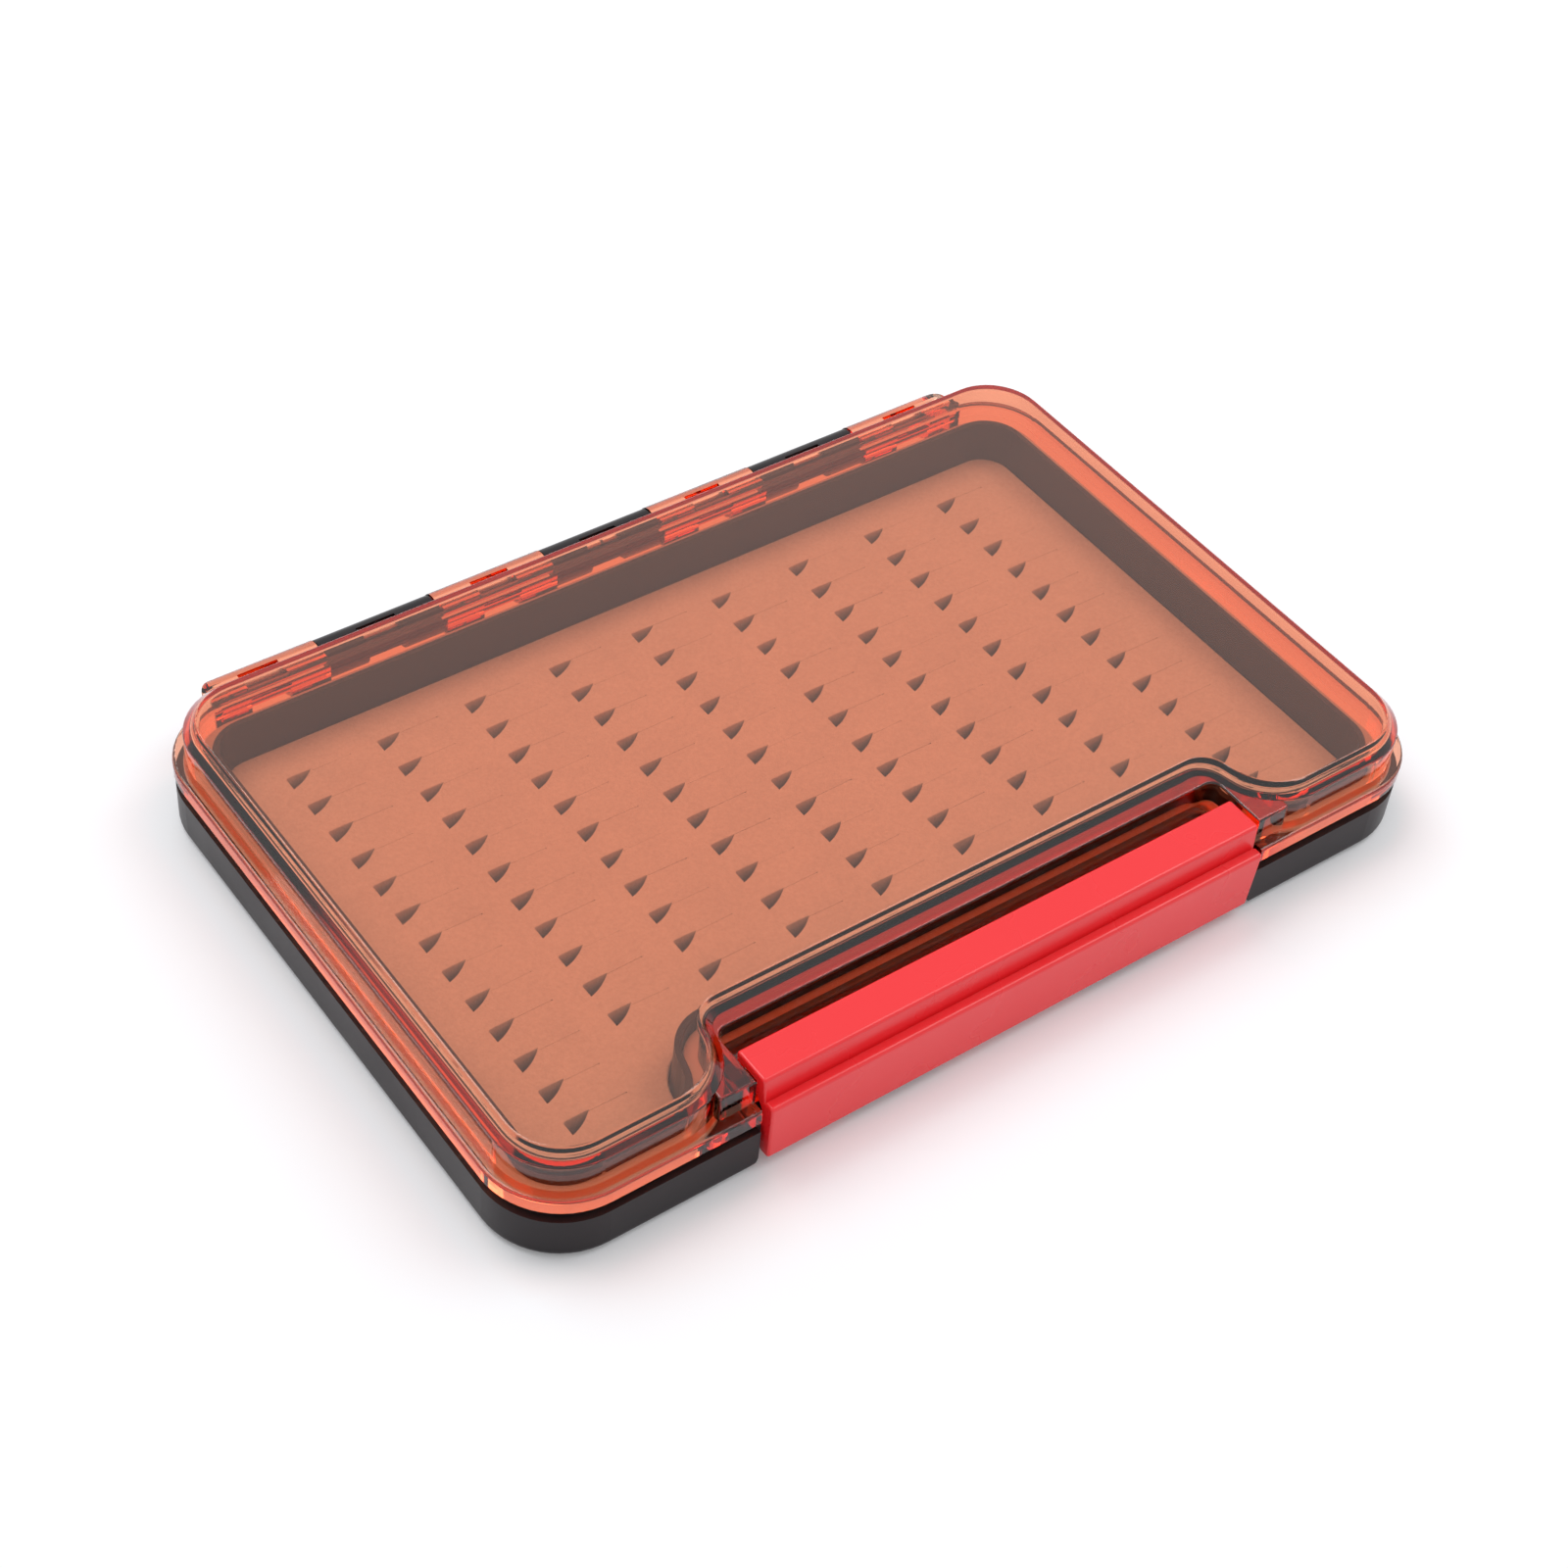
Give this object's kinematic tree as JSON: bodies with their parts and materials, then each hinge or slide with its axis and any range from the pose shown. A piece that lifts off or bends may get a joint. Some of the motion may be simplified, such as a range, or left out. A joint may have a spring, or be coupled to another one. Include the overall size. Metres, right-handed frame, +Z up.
{
  "type": "jig box",
  "caption": "Slim closed box for small fishing jigs: black tray with a slit foam sheet, clear orange lid hinged along the back, and a red bar latch that turns down off the front.",
  "frame": {"origin": "middle of the flange outline in plan, on the flat underside that the box stands on", "axes": "+X to the right along the latch edge, +Y from the latch to the hinge, +Z up"},
  "size_m": [0.137, 0.0951, 0.016],
  "materials": {
    "base": "satin",
    "lid": "gloss",
    "seal": "matte",
    "foam": "matte",
    "adhesive": "matte",
    "latch": "satin",
    "pin": "satin"
  },
  "bodies": {
    "base": {"base_shell": "base", "lid_seal": "seal", "slit_foam": "foam", "foam_adhesive": "adhesive", "hinge_pin_left": "pin", "hinge_pin_right": "pin", "latch_pin_left": "pin", "latch_pin_right": "pin"},
    "lid": {"lid_shell": "lid"},
    "latch": {"latch": "latch"}
  },
  "joints": [
    {"name": "lid_hinge", "type": "hinge", "parent": "base", "child": "lid", "pos_m": [0, 0.0472, 0.0089], "axis": [-1, 0, 0], "range_deg": [0, 180]},
    {"name": "latch_swing", "type": "hinge", "parent": "base", "child": "latch", "pos_m": [0, -0.0433, 0.0029], "axis": [1, 0, 0], "range_deg": [0, 90]}
  ]
}
